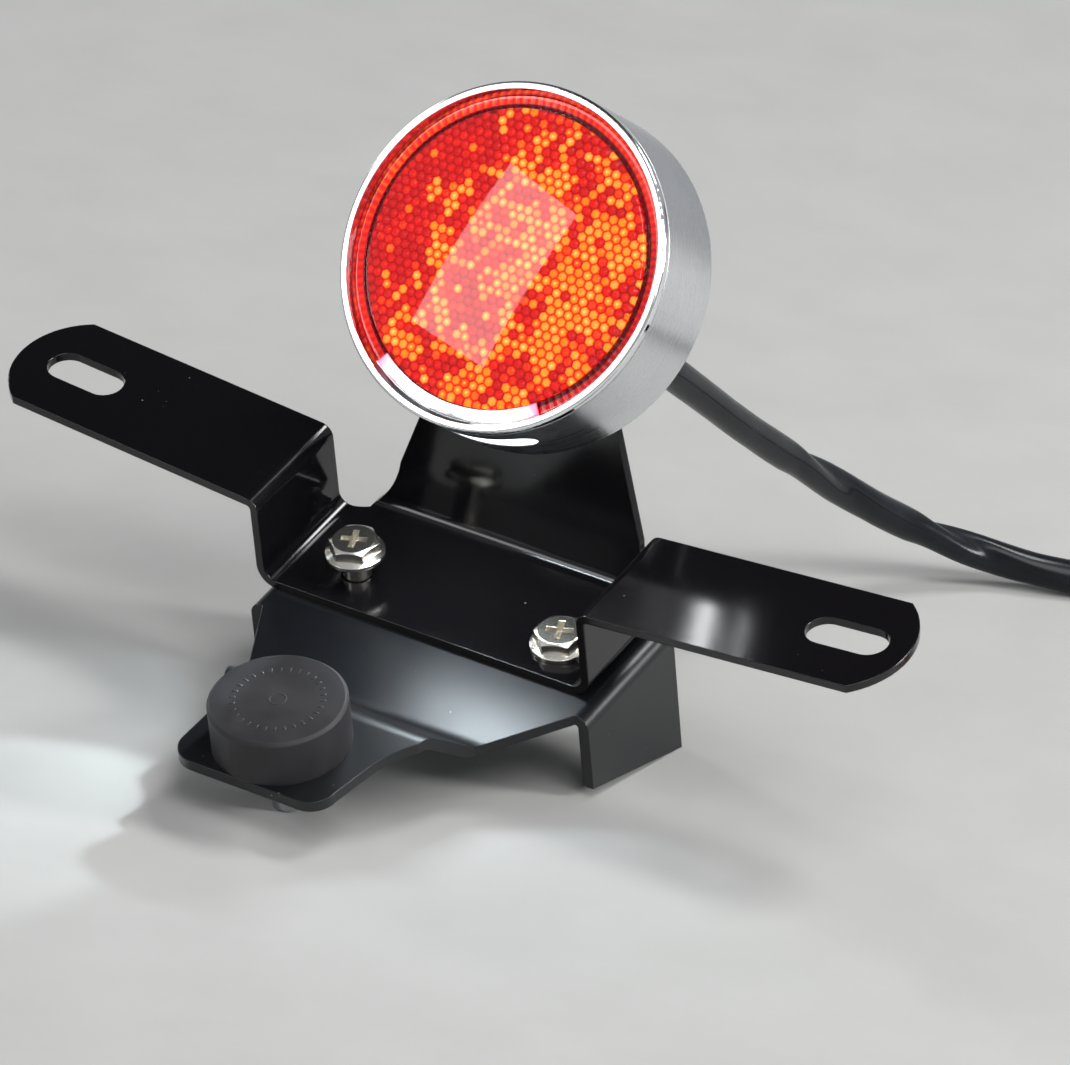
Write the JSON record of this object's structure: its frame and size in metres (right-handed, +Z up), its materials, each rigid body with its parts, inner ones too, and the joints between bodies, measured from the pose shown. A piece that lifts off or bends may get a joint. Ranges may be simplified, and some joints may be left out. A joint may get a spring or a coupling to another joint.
{
  "type": "tail light",
  "caption": "Round motorcycle tail light on a black pressed bracket with slotted number-plate wings, a rubber buffer and a loose cable with bullet terminals.",
  "frame": {"origin": "on the table, under the middle of the box round everything but the cable", "axes": "+X to the right seen from the lens side, -Y the way the lens faces, +Z up"},
  "size_m": [0.2408, 0.2042, 0.1125],
  "materials": {
    "brushed_body": "turned and satin, bare",
    "polished_bezel": "polished bright",
    "red_lens": "clear red acrylic over a honeycomb",
    "gasket_black": "matt",
    "white_tray": "white moulded",
    "board_green": "lacquered glass-fibre board",
    "led_resin": "red clear resin",
    "window_clear": "clear moulded window",
    "plate_led": "white",
    "zinc_steel": "bright zinc plate",
    "rubber_black": "matt moulded",
    "lead_tin": "tinned",
    "coat_upper": "gloss black",
    "coat_lower": "gloss black",
    "nickel_screw": "bright nickel plate",
    "rubber_buffer": "satin moulded",
    "sheath_black": "glossy flexible vinyl",
    "sleeve_black": "satin shrunk sleeve",
    "wire_red": "vinyl insulation",
    "wire_black": "vinyl insulation",
    "wire_yellow": "vinyl insulation",
    "brass_tinned": "tinned"
  },
  "bodies": {
    "root": {"lamp_housing": "brushed_body", "bezel_ring": "polished_bezel", "tail_lens": "red_lens", "lens_gasket": "gasket_black", "reflector_tray": "white_tray", "led_board": "board_green", "tail_leds": "led_resin", "plate_light_window": "window_clear", "plate_light_board": "board_green", "plate_light_leds": "plate_led", "lamp_studs": "zinc_steel", "lamp_pad": "rubber_black", "lamp_stud_washers": "zinc_steel", "lamp_stud_nuts": "zinc_steel", "cable_grommet": "rubber_black", "inner_leads": "lead_tin", "upper_bracket": "coat_upper", "lower_bracket": "coat_lower", "bracket_screws": "nickel_screw", "weld_nuts": "zinc_steel", "rubber_buffer": "rubber_buffer", "buffer_stud": "zinc_steel", "buffer_washer": "zinc_steel", "buffer_nut": "zinc_steel", "cable_sheath": "sheath_black", "cable_end_sleeve": "sleeve_black", "wire_red": "wire_red", "wire_black": "wire_black", "wire_yellow": "wire_yellow", "bullet_terminals": "brass_tinned"}
  },
  "joints": []
}
